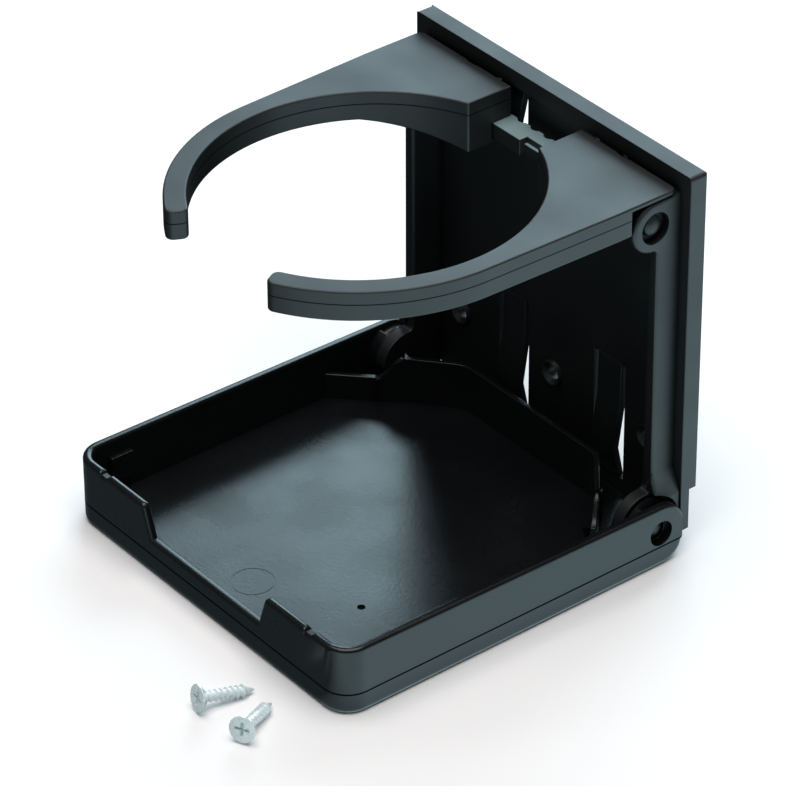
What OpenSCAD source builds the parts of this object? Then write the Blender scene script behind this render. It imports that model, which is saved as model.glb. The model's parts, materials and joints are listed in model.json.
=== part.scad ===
// Fold-flat drink holder: a wall plate, a hinged tray below and two ring
// arms above that fold down and slide together on a toothed bar.
//
// X runs across the plate, -Y points away from the wall and +Z is up.
// The origin is the centre of the face that lies against the wall.
// Heights below are measured from the underside of the open tray, and
// from_tray() moves them to the origin.

/* [Wall plate] */
// Width of the wall plate
plate_w = 108; // [106:0.5:110]
// Height of the plate's top edge above the tray's underside
plate_top = 111.8; // [110:0.1:114]
// Depth of the plate's edge, from the wall to its front
plate_t = 5.2; // [5:0.1:5.6]
// Thickness of the panel between the cheeks
panel_t = 2.6; // [2.4:0.1:2.8]
// Radius of the screw holes
screw_hole_r = 2.0; // [1.8:0.1:2.2]
// Distance between neighbouring screw holes
screw_pitch = 38; // [34:0.5:39]

/* [Tray] */
// Width of the tray
tray_w = 114; // [114:0.5:116]
// Distance from the wall to the tray's front edge
tray_reach = 117.9; // [114:0.1:122]
// Height of the tray's front rim
tray_h = 19.9; // [18:0.1:21]
// Thickness of the tray's side and front walls
wall_t = 2.6; // [2.4:0.1:2.7]
// Thickness of the tray's floor
floor_t = 3.3; // [3:0.1:3.4]
// Width of the front gap at the rim
gap_w = 52; // [40:1:60]

/* [Arms] */
// Inner radius of the ring that the two arms form
ring_inner_r = 46.7; // [45:0.1:47.5]
// Outer radius of the ring
ring_outer_r = 52.6; // [51:0.1:53]
// Thickness of the arms
arm_t = 8.3; // [7:0.1:8.5]
// How far each arm slides inward
arm_travel = 13; // [10:0.5:13]

/* [Hidden] */
$fn = 96;
eps = 0.01;
far = 200;

// Wall plate
plate_x = plate_w / 2;
back_layer_t = 2.15;
back_layer_bottom = 17.2;
plate_bottom = 5.1;
wall_centre_z = (plate_top + back_layer_bottom) / 2;
pocket_x = 46.8;
pocket_top = 107;
screw_z = 25.5;
screw_boss_r = 3.8;
screw_boss_t = 1.2;
sink_r = 3.2;
skirt_bottom = 1.0;
skirt_back = 0.6;

// Cheeks, which carry both hinges
cheek_out = 50.4;
cheek_in = 46.8;
cheek_front = 12.4;
cheek_fillet_r = 1.5;
cheek_low = 7.1;
fold_y = 13.3;
fold_z = 99;
ear_r = 7.1;
tilt_y = 14.2;
tilt_z = 10.4;
foot_r = 8.4;
foot_low_r = 6.6;
flare_arc_r = 8.7;
flare_x = 53.4;
pin_r = 2.85;
bore_r = 2.9;
pin_tip = 1.2;
ear_sink_r = 4.4;
ear_sink_t = 2.2;

// Springs cut out of the panel: [inner x, outer x], and the height of each
// spring's root pin, knee, high point and tip with how far its face stands
// in front of the panel there
spring_slit = 1.5;
spring_root_r = 1.0;
spring_bore_r = 1.05;
spring_y = panel_t / 2;
spring_pitch = 38.6;
tip_slit = 0.25;
lower_x = [17.7, 26.9];
lower_t = 2.0;
lower_root_z = 42;
lower_tip_z = 6.7;
lower_path = [[0, lower_root_z], [0.25, 28.8], [2.2, 16], [0.25, lower_tip_z]];
upper_x = [16.2, 25.4];
upper_t = 2.0;
upper_root_z = 88;
upper_tip_z = 104.8;
upper_path = [[0, upper_root_z], [2.1, 95.5], [0.2, 103.4], [0.05, upper_tip_z]];

// Tray
tray_x = tray_w / 2;
corner_r = 7.5;
rear_r = 6;
tray_rear = 6.8;
boss_r = 8.1;
boss_in = 50.9;
boss_step = 0.3;
tray_sink_r = 3.6;
tray_sink_t = 2.4;
gap_bottom_w = 45;
gap_z = 10.5;
groove_z = 6.2;
groove_h = 0.5;
groove_t = 0.4;
lip_z = 1.2;
lip_y = 3.2;
bay_top = 17.4;
bay_low = 11;
bay_t = 1.5;
nick_x = 43;
nick_w = 2.3;
nick_t = 0.8;

// Arms and their bar
arm_top = 107.9;
arm_bottom = arm_top - arm_t;
arm_in = 13.7;
arm_out = 50.4;
arm_rear = 6.4;
arm_corner_r = 2;
ring_x = 3.4;
ring_y = 64.1;
tip_angle = 61.4;
tip_r = 2;
tip_back = 0.8;
root_out = 44;
root_bottom = 93.2;
root_front = 14.2;
wedge_end_x = 36;
ear_gap_y = 20.9;
lip_t = 1.4;
bar_rear = 5.6;
bar_front = 12.4;
bar_seam = 9.9;
bar_bottom = 94.4;
bar_top = 99;
bar_step = 1.7;
bar_narrow = 1.5;
bar_step_x = -3.2;
bar_gap = 0.15;
bar_end = 46.4;
bar_end_t = 2.1;
bar_end_r = 6;
tooth_pitch = 5.2;
tooth_r = 1.8;
tooth_depth = 0.9;
tooth_count = 13;

// Screws
screw_head_r = 3.55;
screw_len = 15.5;
screw_core_r = 1.25;
screw_thread_r = 1.85;
thread_pitch = 1.5;

// Points along an arc, from one angle to another
function arc(centre, r, from, to, steps = 12) =
    [for (i = [0 : steps]) let (a = from + (to - from) * i / steps) centre + r * [cos(a), sin(a)]];

module from_tray() {
    translate([0, 0, -wall_centre_z]) children();
}

module both_sides() {
    children();
    mirror([1, 0, 0]) children();
}

// A box given by its low and high corners
module block(low, high) {
    translate(low) cube(high - low);
}

// A cylinder along X between two x values, about (y, z)
module rod_x(x0, x1, y, z, r) {
    translate([x0, y, z]) rotate([0, 90, 0]) cylinder(h = x1 - x0, r = r);
}

// A profile drawn in (y, z) and carried from x0 to x1
module profile_x(x0, x1) {
    translate([x0, 0, 0]) rotate([90, 0, 90]) linear_extrude(height = x1 - x0) children();
}

// ---- wall plate ----

module plate_body() {
    difference() {
        union() {
            block([-plate_x, -back_layer_t, back_layer_bottom], [plate_x, 0, plate_top]);
            block([-plate_x, -plate_t, plate_bottom], [plate_x, -back_layer_t + eps, plate_top]);
        }
        block([-pocket_x, -far, 0], [pocket_x, -panel_t, pocket_top]);
        block([-pocket_x, -panel_t - eps, 0], [pocket_x, eps, back_layer_bottom]);
    }
    // Skirt of the panel, behind the tray's bay
    block([-pocket_x - eps, -panel_t, skirt_bottom], [pocket_x + eps, -skirt_back, back_layer_bottom + eps]);
}

// Window round one spring, closed by a half-round seat at its root
module spring_window(x, root_z, tip_z) {
    slack = tip_slit * sign(tip_z - root_z);
    block([x[0] - spring_slit, -panel_t - eps, min(root_z, tip_z + slack)],
          [x[1] + spring_slit, 1, max(root_z, tip_z + slack)]);
    rod_x(x[0] - spring_slit - 1, x[1] + spring_slit + 1, -spring_y, root_z, spring_bore_r);
}

// Side view of a cheek: ear, straight front edge and foot, joined by fillets
module cheek_profile() {
    ear = [-fold_y, fold_z];
    foot = [-tilt_y, tilt_z];
    fillet_y = -cheek_front - cheek_fillet_r;
    ear_drop = sqrt(pow(ear_r + cheek_fillet_r, 2) - pow(fillet_y - ear.x, 2));
    foot_rise = sqrt(pow(foot_r + cheek_fillet_r, 2) - pow(fillet_y - foot.x, 2));
    under_ear = [fillet_y, ear.y - ear_drop];
    over_foot = [fillet_y, foot.y + foot_rise];
    ear_end = 360 + atan2(under_ear.y - ear.y, under_ear.x - ear.x);
    foot_start = atan2(over_foot.y - foot.y, over_foot.x - foot.x);
    polygon(concat(
        [[-panel_t, ear.y + ear_r]],
        arc(ear, ear_r, 90, ear_end, 24),
        arc(under_ear, cheek_fillet_r, ear_end - 180, 0, 6),
        arc(over_foot, cheek_fillet_r, 0, foot_start - 180, 6),
        arc(foot, foot_r, foot_start, 180, 12),
        arc(foot, foot_low_r, 180, 330, 18),
        [[-panel_t, cheek_low]]));
}

module cheek() {
    profile_x(cheek_in, cheek_out) cheek_profile();
    // Flare that covers the tray's hinge boss
    difference() {
        translate([0, -plate_t + eps, 0]) rotate([90, 0, 0])
            linear_extrude(height = 13 - plate_t)
                polygon([[cheek_out - 0.5, 25], [cheek_out, 24.4], [flare_x, 17.6],
                         [flare_x, plate_bottom + 0.4], [cheek_out - 0.5, plate_bottom + 0.4]]);
        rod_x(cheek_out, far, -tilt_y, tilt_z, flare_arc_r);
        block([0, -far, 0], [cheek_out, -plate_t - 1, tilt_z]);
    }
}

// A pin along X with a dome on its far end
module domed_pin(x0, x1, y, z) {
    dome_r = (pin_r * pin_r + pin_tip * pin_tip) / (2 * pin_tip);
    half_angle = asin(pin_r / dome_r);
    translate([x0, y, z]) rotate([0, 90, 0]) rotate_extrude()
        polygon(concat([[0, 0], [pin_r, 0]],
                       arc([0, x1 - x0 - dome_r], dome_r, 90 - half_angle, 90, 6)));
}

module mounting_base() {
    color([0.13, 0.14, 0.15]) from_tray() difference() {
        union() {
            plate_body();
            both_sides() cheek();
            both_sides() domed_pin(cheek_out - eps, tray_x - tray_sink_t + 0.4, -tilt_y, tilt_z);
            for (x = [-screw_pitch, 0, screw_pitch])
                translate([x, -panel_t + eps, screw_z]) rotate([90, 0, 0])
                    cylinder(h = screw_boss_t, r1 = screw_boss_r, r2 = screw_boss_r - 0.3);
        }
        for (shift = [0, -spring_pitch]) translate([shift, 0, 0]) {
            spring_window(lower_x, lower_root_z, lower_tip_z);
            spring_window(upper_x, upper_root_z, upper_tip_z);
        }
        both_sides() rod_x(cheek_in - 1, cheek_out + 1, -fold_y, fold_z, bore_r);
        both_sides() rod_x(cheek_out - ear_sink_t, cheek_out + 1, -fold_y, fold_z, ear_sink_r);
        for (x = [-screw_pitch, 0, screw_pitch])
            translate([x, 0, screw_z]) rotate([90, 0, 0]) {
                translate([0, 0, -1]) cylinder(h = 10, r = screw_hole_r);
                translate([0, 0, panel_t + screw_boss_t - sink_r + screw_hole_r])
                    cylinder(h = sink_r - screw_hole_r + eps, r1 = screw_hole_r, r2 = sink_r);
            }
    }
}

// ---- springs ----

// One spring strip of thickness t between two x values, along a path of
// [distance in front of the panel, height] points that starts at its pin
module spring_strip(x, path, t) {
    front = [for (p = path) [-panel_t - p[0], p[1]]];
    back = [for (i = [len(path) - 1 : -1 : 0]) [-panel_t - path[i][0] + t, path[i][1]]];
    profile_x(x[0], x[1]) polygon(concat(front, back));
    rod_x(x[0] - spring_slit - 0.9, x[1] + spring_slit + 0.9, -spring_y, path[0][1], spring_root_r);
}

module lower_right_spring() {
    color([0.13, 0.14, 0.15]) from_tray() spring_strip(lower_x, lower_path, lower_t);
}

module lower_left_spring() {
    translate([-spring_pitch, 0, 0]) lower_right_spring();
}

module upper_right_spring() {
    color([0.13, 0.14, 0.15]) from_tray() spring_strip(upper_x, upper_path, upper_t);
}

module upper_left_spring() {
    translate([-spring_pitch, 0, 0]) upper_right_spring();
}

// ---- tray ----

// The tray's plan, drawn in by a margin
module tray_plan(margin) {
    r = corner_r - margin;
    x = tray_x - corner_r;
    front = -tray_reach + corner_r;
    polygon(concat([[tray_x - margin, -tray_rear], [-tray_x + margin, -tray_rear]],
                   arc([-x, front], r, 180, 270), arc([x, front], r, 270, 360)));
}

// Side view of the tray: rounded ear and rear edge, rim that rises to the front
module tray_profile() {
    pivot = [-tilt_y, tilt_z];
    rear = [-tray_rear - rear_r, rear_r];
    ear_start = acos((tilt_y - tray_rear) / boss_r);
    polygon(concat([[-far, 0]], arc(rear, rear_r, -90, 0), arc(pivot, boss_r, ear_start, 90, 12),
                   [[-tray_reach + corner_r, tray_h], [-far, tray_h]]));
}

// Floor and walls in one, open at the rear between the ears
module tray_shell() {
    difference() {
        intersection() {
            linear_extrude(height = tray_h) tray_plan(0);
            profile_x(-far, far) tray_profile();
        }
        translate([0, 0, floor_t]) linear_extrude(height = far) difference() {
            tray_plan(wall_t);
            translate([-far, -tray_rear - 1]) square([2 * far, far]);
        }
        block([-tray_x + wall_t, -tray_rear - 1 - eps, floor_t], [tray_x - wall_t, far, far]);
    }
}

module front_gap() {
    translate([0, -tray_reach + corner_r + 4, 0]) rotate([90, 0, 0]) linear_extrude(height = corner_r + 6)
        polygon([[-gap_bottom_w / 2, gap_z], [gap_bottom_w / 2, gap_z], [gap_w / 2, tray_h + 1],
                 [-gap_w / 2, tray_h + 1]]);
}

// Straight piece of the bay wall between two plan points
module bay_run(from, to, top) {
    run = to - from;
    translate([from.x, from.y, floor_t - eps]) rotate([0, 0, atan2(run.y, run.x)])
        translate([-bay_t / 3, -bay_t / 2, 0]) cube([norm(run) + bay_t * 2 / 3, bay_t, top - floor_t]);
}

// Piece of the bay wall whose top falls in an S from bay_top to bay_low
module bay_drop(from, to) {
    run = to - from;
    steps = 12;
    reach = norm(run);
    top = [for (i = [0 : steps]) [reach * i / steps,
           bay_low + (bay_top - bay_low) * (1 + cos(180 * i / steps)) / 2]];
    translate([from.x, from.y, 0]) rotate([0, 0, atan2(run.y, run.x)]) translate([0, bay_t / 2, 0])
        rotate([90, 0, 0]) linear_extrude(height = bay_t)
            polygon(concat([[0, floor_t - eps]], top, [[reach, floor_t - eps]]));
}

// Point beside a bend, a distance d to the left of the path before -> at -> after
function beside(before, at, after, d) =
    let (a = (at - before) / norm(at - before), b = (after - at) / norm(after - at),
         n = [-a.y - b.y, a.x + b.x])
    at + d * n / (n * [-a.y, a.x]);

module bay_wall() {
    middle_end = [26.5, -10.2];
    high_end = [39.6, -21];
    low_start = [45, -27];
    ahead = high_end + (high_end - middle_end);
    path = [[-ahead.x, ahead.y], [-high_end.x, high_end.y], [-middle_end.x, middle_end.y],
            middle_end, high_end, ahead];
    translate([0, 0, floor_t - eps]) linear_extrude(height = bay_top - floor_t)
        polygon(concat([for (i = [1 : 4]) beside(path[i - 1], path[i], path[i + 1], bay_t / 2)],
                       [for (i = [4 : -1 : 1]) beside(path[i - 1], path[i], path[i + 1], -bay_t / 2)]));
    both_sides() {
        bay_drop(high_end, low_start);
        bay_run(low_start, [tray_x - wall_t, -36], bay_low);
    }
}

module hinge_boss() {
    rod_x(boss_in, tray_x - wall_t / 2, -tilt_y, tilt_z, boss_r - boss_step);
}

module stop_tab() {
    inner = tray_x - wall_t;
    block([inner - 1.5, -108, 7], [inner + eps, -101, 15]);
}

module tray() {
    gate_y = -102.4;
    gate_r = 5.8;
    color([0.12, 0.13, 0.14]) from_tray() difference() {
        union() {
            difference() {
                tray_shell();
                front_gap();
            }
            // Lip that carries the floor back between the cheeks
            block([-pocket_x + 0.8, -tray_rear - rear_r, lip_z], [pocket_x - 0.8, -lip_y, floor_t - 0.2]);
            bay_wall();
            both_sides() hinge_boss();
            both_sides() stop_tab();
        }
        both_sides() rod_x(boss_in - 1, tray_x + 1, -tilt_y, tilt_z, bore_r);
        both_sides() rod_x(tray_x - tray_sink_t, tray_x + 1, -tilt_y, tilt_z, tray_sink_r);
        // Fine groove round the outside
        translate([0, 0, groove_z - groove_h / 2]) linear_extrude(height = groove_h) difference() {
            translate([-far, -far]) square(2 * far);
            tray_plan(groove_t);
        }
        // Small nicks in the front rim
        for (side = [-1, 1])
            block([side * nick_x - nick_w / 2, -far, tray_h - nick_t],
                  [side * nick_x + nick_w / 2, -tray_reach + corner_r, far]);
        // Ring left by the mould's gate, and a small pit
        translate([0, gate_y, floor_t - 0.08]) difference() {
            cylinder(h = 1, r = gate_r);
            translate([0, 0, -1]) cylinder(h = 3, r = gate_r - 0.3);
        }
        translate([25.9, -87.6, floor_t - 0.9]) cylinder(h = 2, r = 1.1);
    }
}

// ---- slide bar ----

module slide_bar() {
    color([0.16, 0.17, 0.18]) from_tray() {
        difference() {
            block([-bar_end + eps, -bar_front, bar_bottom], [bar_end - eps, -bar_rear, bar_top]);
            block([bar_step_x, -bar_front - 1, bar_top - bar_step], [bar_end - bar_end_t, -bar_seam, far]);
            block([bar_step_x, -bar_front - 1, 0], [bar_end - bar_end_t, -bar_front + bar_narrow, far]);
            for (i = [0 : tooth_count - 1])
                translate([(i - (tooth_count - 1) / 2) * tooth_pitch, -bar_rear + tooth_r - tooth_depth, 0])
                    cylinder(h = far, r = tooth_r);
        }
        both_sides() {
            rod_x(bar_end - bar_end_t, bar_end, -fold_y, fold_z, bar_end_r);
            domed_pin(bar_end - eps, cheek_out - 0.4, -fold_y, fold_z);
        }
    }
}

// ---- arms ----

// Plan of the right arm: rear edge, outer side, ring and rounded tip
module arm_plan() {
    centre = [-ring_x, -ring_y];
    half_t = (ring_outer_r - ring_inner_r) / 2;
    tip_centre = centre + (ring_inner_r + half_t) * [cos(tip_angle), -sin(tip_angle)];
    tip_side = (half_t - tip_r) * [cos(tip_angle), -sin(tip_angle)];
    root_angle = acos((arm_in + ring_x) / ring_inner_r);
    corner = [arm_out - arm_corner_r, -arm_rear - arm_corner_r];
    difference() {
        polygon(concat(
            [[arm_in, -arm_rear]],
            arc(corner, arm_corner_r, 90, 0, 6),
            [[arm_out, -25]],
            arc(centre, ring_outer_r, 0, -tip_angle + tip_back, 24),
            arc(tip_centre + tip_side, tip_r, -tip_angle, -tip_angle - 90, 6),
            arc(tip_centre - tip_side, tip_r, -tip_angle - 90, -tip_angle - 180, 6),
            arc(centre, ring_inner_r, -tip_angle + tip_back, root_angle, 52)));
        translate([28, -arm_rear - 0.3]) square([3.2, 1]);
    }
}

// The root block that runs on the bar, inside the cheeks
module arm_root() {
    difference() {
        union() {
            block([arm_in, -root_front, root_bottom], [root_out, -arm_rear, arm_bottom + eps]);
            intersection() {
                translate([0, 0, root_bottom]) linear_extrude(height = arm_t) arm_plan();
                translate([0, -root_front + eps, 0]) rotate([90, 0, 0]) linear_extrude(height = 30)
                    polygon([[arm_in, root_bottom], [wedge_end_x, arm_bottom + eps], [arm_in, arm_bottom + eps]]);
            }
        }
        // Rounded lower rear edge, which swings past the panel
        difference() {
            block([0, -arm_rear - 2, root_bottom - 1], [far, 0, root_bottom + 2]);
            rod_x(-1, far, -arm_rear - 2, root_bottom + 2, 2);
        }
    }
}

module bar_slot() {
    block([0, -bar_front - bar_gap, bar_bottom - bar_gap], [far, 1, bar_top + bar_gap]);
}

// Room for the cheek's ear and the bar's end disc under the arm's outer lip
module ear_room() {
    block([root_out, -ear_gap_y, 0], [far, 1, arm_top - lip_t]);
}

module right_arm() {
    color([0.2, 0.21, 0.22]) from_tray() difference() {
        union() {
            translate([0, 0, arm_bottom]) linear_extrude(height = arm_t) arm_plan();
            arm_root();
        }
        ear_room();
        bar_slot();
    }
}

module left_arm() {
    mirror([1, 0, 0]) right_arm();
}

// ---- screws ----

// One countersunk self-tapping screw, head up along +Z at the origin
module screw() {
    head_h = 2.2;
    shank = screw_len - head_h;
    difference() {
        union() {
            cylinder(h = 0.4, r = screw_head_r);
            translate([0, 0, -head_h]) cylinder(h = head_h, r1 = screw_core_r, r2 = screw_head_r);
            translate([0, 0, -screw_len + 3]) cylinder(h = shank - 3 + eps, r = screw_core_r);
            translate([0, 0, -screw_len]) cylinder(h = 3, r1 = 0.25, r2 = screw_core_r);
            for (i = [1 : 7]) translate([0, 0, -screw_len + 1.4 + i * thread_pitch]) {
                cylinder(h = 0.4, r1 = screw_core_r, r2 = screw_thread_r - 0.04 * i);
                translate([0, 0, 0.4 - eps]) cylinder(h = 0.4, r1 = screw_thread_r - 0.04 * i, r2 = screw_core_r);
            }
        }
        // Cross recess
        for (turn = [0, 90]) rotate(turn) translate([-2, -0.45, -1]) cube([4, 0.9, 2]);
    }
}

// A screw lying with its head rim and its tip on the surface below
module lying_screw(head, tip) {
    run = head - tip;
    tilt = acos(run.z / norm(run));
    turn = atan2(run.y, run.x);
    translate(head) rotate([0, tilt, turn]) screw();
}

module mounting_screws() {
    color([0.75, 0.78, 0.82]) from_tray() {
        lying_screw([30.9, -142.6, 4.05], [33.5, -128.5, 1.35]);
        lying_screw([47.6, -141.6, 4.05], [41.1, -128.0, 1.35]);
    }
}

mounting_base();
lower_left_spring();
lower_right_spring();
upper_left_spring();
upper_right_spring();
tray();
slide_bar();
left_arm();
right_arm();
mounting_screws();
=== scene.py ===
"""Fold-flat drink holder in black moulded plastic, standing open, with two loose zinc screws."""

import json
import math

import bmesh
import bpy
from mathutils import Matrix, Vector
from mathutils.geometry import delaunay_2d_cdt


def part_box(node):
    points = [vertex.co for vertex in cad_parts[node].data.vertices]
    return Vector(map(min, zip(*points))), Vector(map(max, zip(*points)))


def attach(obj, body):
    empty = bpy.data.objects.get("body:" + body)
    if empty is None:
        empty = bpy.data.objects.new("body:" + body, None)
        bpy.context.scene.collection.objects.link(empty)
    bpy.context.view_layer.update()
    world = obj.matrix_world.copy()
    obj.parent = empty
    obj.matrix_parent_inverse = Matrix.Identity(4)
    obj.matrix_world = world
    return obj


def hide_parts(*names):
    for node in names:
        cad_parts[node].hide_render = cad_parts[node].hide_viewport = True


MM = 0.001
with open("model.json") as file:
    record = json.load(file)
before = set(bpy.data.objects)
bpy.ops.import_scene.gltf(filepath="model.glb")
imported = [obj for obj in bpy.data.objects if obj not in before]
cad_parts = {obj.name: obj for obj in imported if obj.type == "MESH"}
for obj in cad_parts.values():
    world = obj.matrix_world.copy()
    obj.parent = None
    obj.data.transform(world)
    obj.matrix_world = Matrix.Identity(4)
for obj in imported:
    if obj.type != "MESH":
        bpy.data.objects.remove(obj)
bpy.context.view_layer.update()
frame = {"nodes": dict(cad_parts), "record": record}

# ---- sizes ----

WIDEST = 2 * MM          # the rounding that a bevel weight of 1 stands for
CRISP = 0.3 * MM         # the rounding of an ordinary moulded edge
SHARP_TURN = 28          # an edge that turns more than this many degrees may be rounded
SMOOTH_TURN = 27         # faces that turn less than this many degrees are shaded as one surface
WELD = 0.002 * MM        # CAD vertices closer than this are one vertex

PLATE_X = 54 * MM        # half the width of the wall plate
PLATE_TOP = 111.8 * MM   # heights are above the table
PANEL_X = 46.8 * MM      # half the width of the panel between the cheeks
CHEEK_X = 50.4 * MM      # outer side of the cheeks
GROOVE_UP = 6.2 * MM     # height of the groove round the tray
FLOOR_UP = 3.2 * MM      # height of the tray's floor and of the gate ring in it
ARM_SEAM_DEPTH = 3.6 * MM  # from the top of the arms down to their parting line

tray_low, tray_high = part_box("tray")
arm_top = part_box("right_arm")[1].z
table_z = tray_low.z


def hinge_place(joint_name):
    joints = frame["record"]["behaviour"]["joints"]
    return next(Vector(joint["pos_m"]) for joint in joints if joint["name"] == joint_name)


tray_hinge = hinge_place("tray_fold")
arm_hinge = hinge_place("arm_fold")


# ---- meshes ----

def cad_copy(node):
    """A welded copy of a CAD node's mesh, with its flat areas merged into single faces."""
    mesh = bmesh.new()
    mesh.from_mesh(frame["nodes"][node].data)
    bmesh.ops.remove_doubles(mesh, verts=mesh.verts, dist=WELD)
    bmesh.ops.dissolve_limit(
        mesh, angle_limit=math.radians(0.6), verts=mesh.verts, edges=mesh.edges, use_dissolve_boundaries=False
    )
    bmesh.ops.recalc_face_normals(mesh, faces=mesh.faces)
    return mesh


def middle(edge):
    return (edge.verts[0].co + edge.verts[1].co) / 2


def steepness(edge):
    """0 for a level edge and 1 for an upright one."""
    return abs((edge.verts[0].co - edge.verts[1].co).normalized().z)


def from_axis(place, axis):
    """Distance from an axis that runs along X."""
    return math.hypot(place.y - axis.y, place.z - axis.z)


def weigh_edges(mesh, width_of, hollow_width_of=None):
    """Weighs each sharp outward edge, and each inward one if asked, by how wide to round it."""
    layer = mesh.edges.layers.float.new("bevel_weight_edge")
    for edge in mesh.edges:
        if len(edge.link_faces) != 2:
            continue
        turn = edge.calc_face_angle_signed(0)
        if turn > math.radians(SHARP_TURN):
            edge[layer] = min(width_of(edge) / WIDEST, 1)
        elif hollow_width_of and turn < -math.radians(SHARP_TURN):
            edge[layer] = min(hollow_width_of(edge) / WIDEST, 1)


def round_edges(piece, segments):
    """Rounds the weighted edges and keeps the result as the piece's own mesh."""
    bevel = piece.modifiers.new("rounding", "BEVEL")
    bevel.limit_method = "WEIGHT"
    bevel.width = WIDEST
    bevel.segments = segments
    bevel.use_clamp_overlap = False
    bevel.miter_outer = "MITER_ARC"
    bpy.context.view_layer.update()
    rounded = bpy.data.meshes.new_from_object(piece.evaluated_get(bpy.context.evaluated_depsgraph_get()))
    piece.modifiers.remove(bevel)
    piece.data = rounded


def split_flats(data):
    """Cuts each many-sided flat face into triangles that follow its outline exactly."""
    mesh = bmesh.new()
    mesh.from_mesh(data)
    for face in [face for face in mesh.faces if len(face.verts) > 4]:
        turn = face.normal.to_track_quat("Z", "Y")
        flat = [turn.inverted() @ vert.co / MM for vert in face.verts]
        height = sum(point.z for point in flat) / len(flat)
        spots, _, cells, sources, _, _ = delaunay_2d_cdt(
            [point.xy for point in flat], [], [list(range(len(flat)))], 1, 0.0001)
        corners = [
            face.verts[source[0]] if source else mesh.verts.new(turn @ Vector((*spot, height)) * MM)
            for spot, source in zip(spots, sources)
        ]
        for cell in cells:
            ring = [corners[i] for i in cell]
            if len(set(ring)) == 3 and not mesh.faces.get(ring):
                part = mesh.faces.new(ring, face)
                part.normal_update()
                if part.normal.dot(face.normal) < 0:
                    part.normal_flip()
        mesh.faces.remove(face)
    bmesh.ops.remove_doubles(mesh, verts=mesh.verts, dist=WELD / 4)
    mesh.to_mesh(data)
    mesh.free()


def shade(data):
    """Smooths each corner over the faces that turn little from its own, the large ones counting most."""
    limit = math.cos(math.radians(SMOOTH_TURN))
    around = [[] for _ in data.vertices]
    for face in data.polygons:
        for vertex in face.vertices:
            around[vertex].append((face.normal.copy(), face.area))
    normals = []
    for face in data.polygons:
        for vertex in face.vertices:
            near = [normal * area for normal, area in around[vertex] if normal.dot(face.normal) > limit]
            # The tiny start keeps the sum defined where every face near the corner has no area
            normals.append(sum(near, face.normal * 1e-12).normalized())
    data.normals_split_custom_set(normals)


def finish_piece(mesh, name, node, body, material, segments=4):
    """Makes a bmesh into the piece that stands in for a CAD node and rides on its body."""
    data = bpy.data.meshes.new(name)
    mesh.to_mesh(data)
    mesh.free()
    piece = bpy.data.objects.new(name, data)
    bpy.context.scene.collection.objects.link(piece)
    round_edges(piece, segments)
    split_flats(piece.data)
    piece.data.materials.clear()
    piece.data.materials.append(material)
    piece.data.shade_smooth()
    shade(piece.data)
    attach(piece, body)
    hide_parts(node)


# ---- materials ----

def nodes_of(name):
    material = bpy.data.materials.new(name)
    material.use_nodes = True
    tree = material.node_tree
    return material, tree, tree.nodes["Principled BSDF"]


def link(tree, a, b):
    tree.links.new(a, b)


def object_coords(tree):
    return tree.nodes.new("ShaderNodeTexCoord").outputs["Object"]


def noise(tree, coords, scale, detail=2, rough=0.5):
    node = tree.nodes.new("ShaderNodeTexNoise")
    node.inputs["Scale"].default_value = scale
    node.inputs["Detail"].default_value = detail
    node.inputs["Roughness"].default_value = rough
    link(tree, coords, node.inputs["Vector"])
    return node.outputs["Fac"]


def ramp(tree, value, low, high, out_low, out_high):
    node = tree.nodes.new("ShaderNodeMapRange")
    node.inputs["From Min"].default_value = low
    node.inputs["From Max"].default_value = high
    node.inputs["To Min"].default_value = out_low
    node.inputs["To Max"].default_value = out_high
    link(tree, value, node.inputs["Value"])
    return node.outputs["Result"]


def axis_of(tree, vector, axis):
    node = tree.nodes.new("ShaderNodeSeparateXYZ")
    link(tree, vector, node.inputs["Vector"])
    return node.outputs[axis]


def blend_colours(tree, factor, first, second):
    """Mixes two colours. The first may be a colour or a socket that gives one."""
    node = tree.nodes.new("ShaderNodeMix")
    node.data_type = "RGBA"
    node.inputs["B"].default_value = (*second, 1)
    link(tree, factor, node.inputs["Factor"])
    if isinstance(first, bpy.types.NodeSocket):
        link(tree, first, node.inputs["A"])
    else:
        node.inputs["A"].default_value = (*first, 1)
    return node.outputs["Result"]


def bump(tree, height, depth, under=None):
    """Bumps of a given depth in metres, on top of other bumps if there are any."""
    node = tree.nodes.new("ShaderNodeBump")
    node.inputs["Strength"].default_value = 1
    node.inputs["Distance"].default_value = depth
    link(tree, height, node.inputs["Height"])
    if under:
        link(tree, under, node.inputs["Normal"])
    return node.outputs["Normal"]


def moulded_plastic(name, rough, grain, grain_depth, pebble_depth=0.0, gloss=0.5, painted_top_sheen=None):
    """Black moulded plastic: fine grain, uneven gloss and faint flow marks, and where asked a painted sheen
    on the faces that look up. Grain and depths are in mm.
    """
    material, tree, shader = nodes_of(name)
    coords = object_coords(tree)
    cloud = noise(tree, coords, 45, 4, 0.55)

    surface = blend_colours(tree, cloud, [c * 0.8 for c in BLACK], [c * 1.25 for c in BLACK])
    # Painted highlight: faces that look up are made paler, standing in for the sheen the overhead light gives
    # them.
    if painted_top_sheen:
        facing_up = axis_of(tree, tree.nodes.new("ShaderNodeNewGeometry").outputs["Normal"], "Z")
        surface = blend_colours(tree, ramp(tree, facing_up, 0.6, 0.95, 0, 1), surface, painted_top_sheen)
    link(tree, surface, shader.inputs["Base Color"])

    link(tree, ramp(tree, cloud, 0.3, 0.7, rough - 0.04, rough + 0.05), shader.inputs["Roughness"])
    shader.inputs["IOR"].default_value = 1.52
    shader.inputs["Specular IOR Level"].default_value = gloss

    skin = bump(tree, noise(tree, coords, 1 / (grain * MM), 3, 0.6), grain_depth * MM)
    if pebble_depth:
        skin = bump(tree, noise(tree, coords, 1 / (grain * 2.6 * MM), 2, 0.5), pebble_depth * MM, skin)
    link(tree, skin, shader.inputs["Normal"])
    return material


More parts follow.
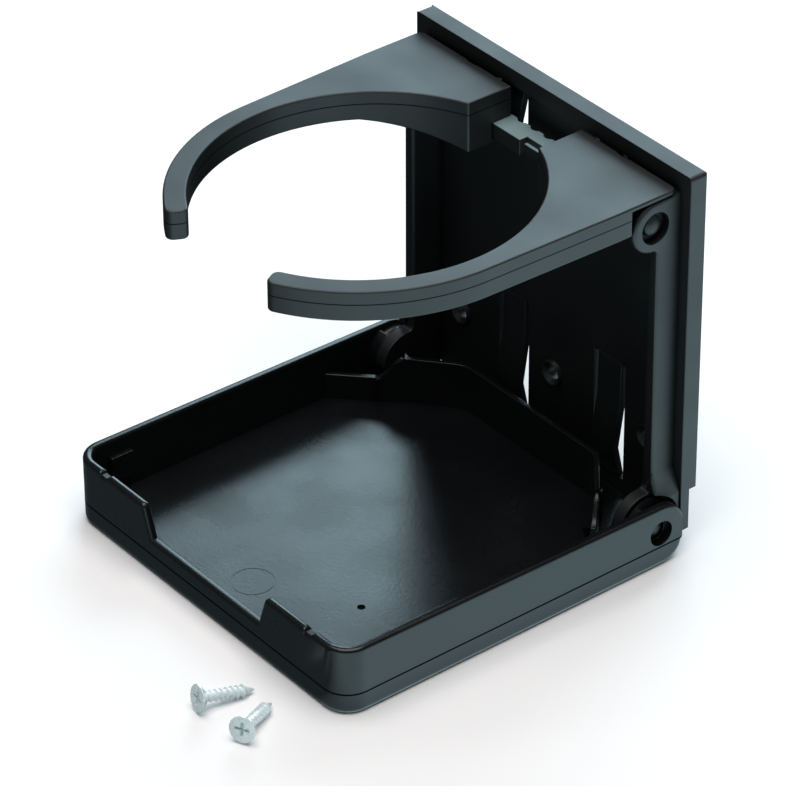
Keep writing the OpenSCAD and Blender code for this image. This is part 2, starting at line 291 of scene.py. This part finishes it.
def paint_recess_shade(material, reach, gloss=0.5):
    """Paints shade into recesses: the shine fades where the surface lies deep in a recess or gap about as
    wide as reach, standing in for the shade that falls there.
    """
    tree = material.node_tree
    hidden = tree.nodes.new("ShaderNodeAmbientOcclusion")
    hidden.inputs["Distance"].default_value = reach
    # Painted shade: ambient occlusion dims the shine in recesses.
    shine = ramp(tree, hidden.outputs["AO"], 0.35, 0.85, 0.05, gloss)
    link(tree, shine, tree.nodes["Principled BSDF"].inputs["Specular IOR Level"])


def add_seam(material, height):
    """A fine dark parting line round the piece at one height."""
    tree = material.node_tree
    away = tree.nodes.new("ShaderNodeMath")
    away.operation = "SUBTRACT"
    away.inputs[1].default_value = height
    link(tree, axis_of(tree, object_coords(tree), "Z"), away.inputs[0])
    near = tree.nodes.new("ShaderNodeMath")
    near.operation = "ABSOLUTE"
    link(tree, away.outputs[0], near.inputs[0])
    shine = ramp(tree, near.outputs[0], 0.05 * MM, 0.25 * MM, 0.0, 0.5)
    link(tree, shine, tree.nodes["Principled BSDF"].inputs["Specular IOR Level"])


def zinc(name):
    """Bright bluish zinc plate with a cloudy gloss and fine pits."""
    material, tree, shader = nodes_of(name)
    coords = object_coords(tree)
    cloud = noise(tree, coords, 600, 4, 0.6)
    link(tree, blend_colours(tree, cloud, (0.74, 0.86, 0.90), (0.93, 1.0, 1.0)), shader.inputs["Base Color"])
    shader.inputs["Metallic"].default_value = 0.25
    link(tree, ramp(tree, cloud, 0.3, 0.7, 0.18, 0.36), shader.inputs["Roughness"])
    link(tree, bump(tree, noise(tree, coords, 4000, 3, 0.6), 0.01 * MM), shader.inputs["Normal"])
    return material


BLACK = (0.0045, 0.0052, 0.0056)
base_plastic = moulded_plastic("base_plastic", rough=0.5, grain=0.5, grain_depth=0.012)
# The base gets painted shade in its recesses.
paint_recess_shade(base_plastic, 3 * MM)
# The bar gets a painted highlight: a pale cyan sheen painted on its up-facing faces.
bar_plastic = moulded_plastic(
    "bar_plastic", rough=0.55, grain=0.5, grain_depth=0.012, painted_top_sheen=(0.17, 0.24, 0.25))
tray_plastic = moulded_plastic(
    "tray_plastic", rough=0.26, grain=0.4, grain_depth=0.006, pebble_depth=0.024, gloss=0.35)
arm_plastic = moulded_plastic("arm_plastic", rough=0.48, grain=0.45, grain_depth=0.015)
add_seam(arm_plastic, arm_top - ARM_SEAM_DEPTH)
zinc_plate = zinc("zinc_plate")


# ---- pieces ----

def make_tray():
    mesh = cad_copy("tray")
    hole_edge = 0.1 * MM
    lower_round = 1.9 * MM
    rim_round = 1.15 * MM
    gap_round = 1.0 * MM
    pin_hole_r = 5 * MM
    ear_r = 7.5 * MM
    lower_part = 6 * MM

    def width(edge):
        at = middle(edge)
        up = at.z - table_z
        from_hinge = from_axis(at, tray_hinge)
        outside = abs(at.x) > tray_high.x - 0.05 * MM
        in_groove = abs(up - GROOVE_UP) < 0.6 * MM
        on_floor = abs(up - FLOOR_UP) < 0.2 * MM
        between_cheeks = abs(at.x) < PANEL_X + 0.2 * MM and at.y > -9 * MM
        on_top = up > 17 * MM and (steepness(edge) < 0.5 or at.y > -25 * MM)
        on_rim = on_top and abs(at.y - tray_hinge.y) > 5 * MM
        in_front_gap = at.y < tray_low.y + 3 * MM and up > 9 * MM and abs(at.x) < 30 * MM
        if from_hinge < pin_hole_r:
            return hole_edge
        if outside and not in_groove and up < lower_part + 1 * MM:
            return lower_round - (lower_round - rim_round) * min(up / lower_part, 1)
        if up < 0.3 * MM:
            return lower_round
        if in_groove or on_floor or between_cheeks:
            return 0
        if on_rim or outside:
            return rim_round if up > 6.8 * MM and from_hinge > ear_r else CRISP
        return gap_round if in_front_gap else CRISP

    def hollow_width(edge):
        """The upright inner corners of the bay wall are rounded."""
        at = middle(edge)
        in_bay = abs(at.x) < 45 * MM and at.y > -40 * MM
        return WIDEST if in_bay and steepness(edge) > 0.99 else 0

    weigh_edges(mesh, width, hollow_width)
    finish_piece(mesh, "tray_shell", "tray", "tray", tray_plastic, segments=5)


def make_base():
    mesh = cad_copy("mounting_base")
    window_edge = 0.15 * MM
    cheek_round = 1.1 * MM
    corner_round = 1.2 * MM
    sink_r = 5 * MM
    ear_r = 8 * MM

    def width(edge):
        at = middle(edge)
        up = at.z - table_z
        from_ear = from_axis(at, arm_hinge)
        on_panel = abs(at.x) < PANEL_X - 0.8 * MM and at.y > -5.5 * MM
        on_cheek_front = at.y < -12 * MM and up > 22 * MM and abs(at.x) < CHEEK_X + 0.2 * MM
        at_plate_corner = abs(at.x) > PLATE_X - 0.1 * MM and up > PLATE_TOP - 0.8 * MM
        if on_panel or from_ear < sink_r:
            return window_edge
        if from_ear < ear_r or on_cheek_front:
            return cheek_round
        return corner_round if at_plate_corner else CRISP

    weigh_edges(mesh, width)
    finish_piece(mesh, "back_plate", "mounting_base", "base", base_plastic)


def make_arm(side):
    node = side + "_arm"
    mesh = cad_copy(node)
    weigh_edges(mesh, lambda edge: 0.5 * MM)
    finish_piece(mesh, node + "_shell", node, node, arm_plastic)


def make_bar():
    """The bar's teeth are crisp, and the domed ends of its pins are rounder."""
    mesh = cad_copy("slide_bar")
    pin_start = 48 * MM
    weigh_edges(mesh, lambda edge: 0.25 * MM if abs(middle(edge).x) < pin_start else 0.6 * MM)
    finish_piece(mesh, "toothed_bar", "slide_bar", "bar", bar_plastic)


def make_spring(node):
    mesh = cad_copy(node)
    weigh_edges(mesh, lambda edge: CRISP)
    finish_piece(mesh, node + "_strip", node, node, base_plastic)


make_tray()
make_base()
make_bar()
for side in ("left", "right"):
    make_arm(side)
    for level in ("lower", "upper"):
        make_spring(f"{level}_{side}_spring")
for slot in frame["nodes"]["mounting_screws"].material_slots:
    slot.material = zinc_plate


# ---- stage, light and camera ----

def painted_reflection_glow(tree):
    """How bright the painted reflection glows for mirror rays: dim, a little brighter in front, bright on the
    right.
    """
    place = tree.nodes.new("ShaderNodeNewGeometry").outputs["Position"]
    across = tree.nodes.new("ShaderNodeMath")
    across.operation = "MULTIPLY_ADD"
    across.inputs[1].default_value = -0.8
    link(tree, axis_of(tree, place, "Y"), across.inputs[0])
    link(tree, axis_of(tree, place, "X"), across.inputs[2])
    front = ramp(tree, across.outputs[0], -0.05, 0.03, 0.03, 0.14)
    right = ramp(tree, axis_of(tree, place, "X"), 0.045, 0.065, 0, 1.7)
    both = tree.nodes.new("ShaderNodeMath")
    both.operation = "ADD"
    link(tree, front, both.inputs[0])
    link(tree, right, both.inputs[1])
    return both.outputs[0]


def floor_white():
    """Matt white for the eye and for the light; mirror rays see a painted reflection instead, the floor
    glowing for them though it is no lamp.
    """
    material, tree, shader = nodes_of("floor_white")
    shader.inputs["Base Color"].default_value = (0.945, 0.925, 0.92, 1)
    shader.inputs["Roughness"].default_value = 0.9
    shader.inputs["Specular IOR Level"].default_value = 0
    # Painted reflection: a cool-tinted emission that only mirror rays see.
    painted_reflection_emitter = tree.nodes.new("ShaderNodeEmission")
    painted_reflection_emitter.inputs["Color"].default_value = (0.72, 1.0, 1.08, 1)
    link(tree, painted_reflection_glow(tree), painted_reflection_emitter.inputs["Strength"])
    chosen = tree.nodes.new("ShaderNodeMixShader")
    link(tree, tree.nodes.new("ShaderNodeLightPath").outputs["Is Glossy Ray"], chosen.inputs["Fac"])
    link(tree, shader.outputs["BSDF"], chosen.inputs[1])
    link(tree, painted_reflection_emitter.outputs["Emission"], chosen.inputs[2])
    link(tree, chosen.outputs["Shader"], tree.nodes["Material Output"].inputs["Surface"])
    return material


def make_floor():
    bpy.ops.mesh.primitive_plane_add(size=12, location=(0, 0, table_z - 0.05 * MM))
    floor = bpy.context.object
    floor.name = "floor"
    floor.data.materials.append(floor_white())


def add_light(name, place, size, power, colour=(1, 1, 1)):
    """A softbox at a place, aimed at the holder. Its size is width and height in metres."""
    aim = Vector((0, -0.05, 0))
    light = bpy.data.lights.new(name, "AREA")
    light.shape = "RECTANGLE"
    light.size, light.size_y = size
    light.energy = power
    light.color = colour
    lamp = bpy.data.objects.new(name, light)
    lamp.location = place
    lamp.rotation_mode = "QUATERNION"
    lamp.rotation_quaternion = (aim - Vector(place)).to_track_quat("-Z", "Y")
    bpy.context.scene.collection.objects.link(lamp)


def make_lights():
    world = bpy.data.worlds.new("studio")
    bpy.context.scene.world = world
    world.use_nodes = True
    world.node_tree.nodes["Background"].inputs["Color"].default_value = (0.92, 1.0, 1.03, 1)
    world.node_tree.nodes["Background"].inputs["Strength"].default_value = 0.1
    add_light("back_softbox", (-0.74, 0.95, 0.56), (1.0, 0.8), 13.8, (0.68, 0.95, 1.08))
    add_light("top_softbox", (0.1, -0.1, 1.3), (1.3, 1.3), 21)


def make_camera():
    azimuth, elevation, roll = math.radians(51.69), math.radians(34.16), math.radians(-0.37)
    place = Vector((0.7907, -0.6808, 0.7255 + table_z))
    ahead = Vector((
        -math.sin(azimuth) * math.cos(elevation),
        math.cos(azimuth) * math.cos(elevation),
        -math.sin(elevation),
    ))
    level = Vector((math.cos(azimuth), math.sin(azimuth), 0))
    upright = level.cross(ahead)
    right = level * math.cos(roll) + upright * math.sin(roll)
    up = upright * math.cos(roll) - level * math.sin(roll)
    data = bpy.data.cameras.new("camera")
    data.lens = 217.7
    data.sensor_width = 36
    data.clip_start, data.clip_end = 0.01, 50
    camera = bpy.data.objects.new("camera", data)
    bpy.context.scene.collection.objects.link(camera)
    camera.matrix_world = Matrix.Translation(place) @ Matrix((right, up, -ahead)).transposed().to_4x4()
    bpy.context.scene.camera = camera


make_floor()
make_lights()
make_camera()
bpy.context.scene.view_settings.view_transform = "Standard"
